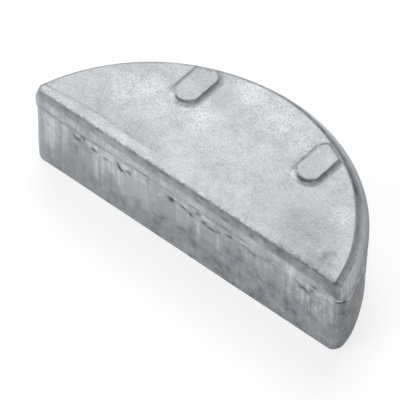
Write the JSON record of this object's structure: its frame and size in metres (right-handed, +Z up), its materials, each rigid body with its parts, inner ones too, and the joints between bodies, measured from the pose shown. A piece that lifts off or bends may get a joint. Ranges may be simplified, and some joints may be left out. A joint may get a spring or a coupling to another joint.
{
  "type": "flywheel key",
  "caption": "Half-moon die-cast key that locates an engine flywheel on its tapered crankshaft, with raised ribs on one side.",
  "frame": {"origin": "middle of the underside: halfway along the straight edge, halfway between the straight edge and the top of the round edge", "axes": "+X along the straight edge, +Y from the straight edge to the round edge, +Z up through the thickness to the ribbed side"},
  "size_m": [0.0186, 0.0078, 0.0049],
  "materials": {
    "cast_metal": "dull as-cast metal with drag marks"
  },
  "bodies": {
    "root": {"flywheel_key": "cast_metal"}
  },
  "joints": []
}
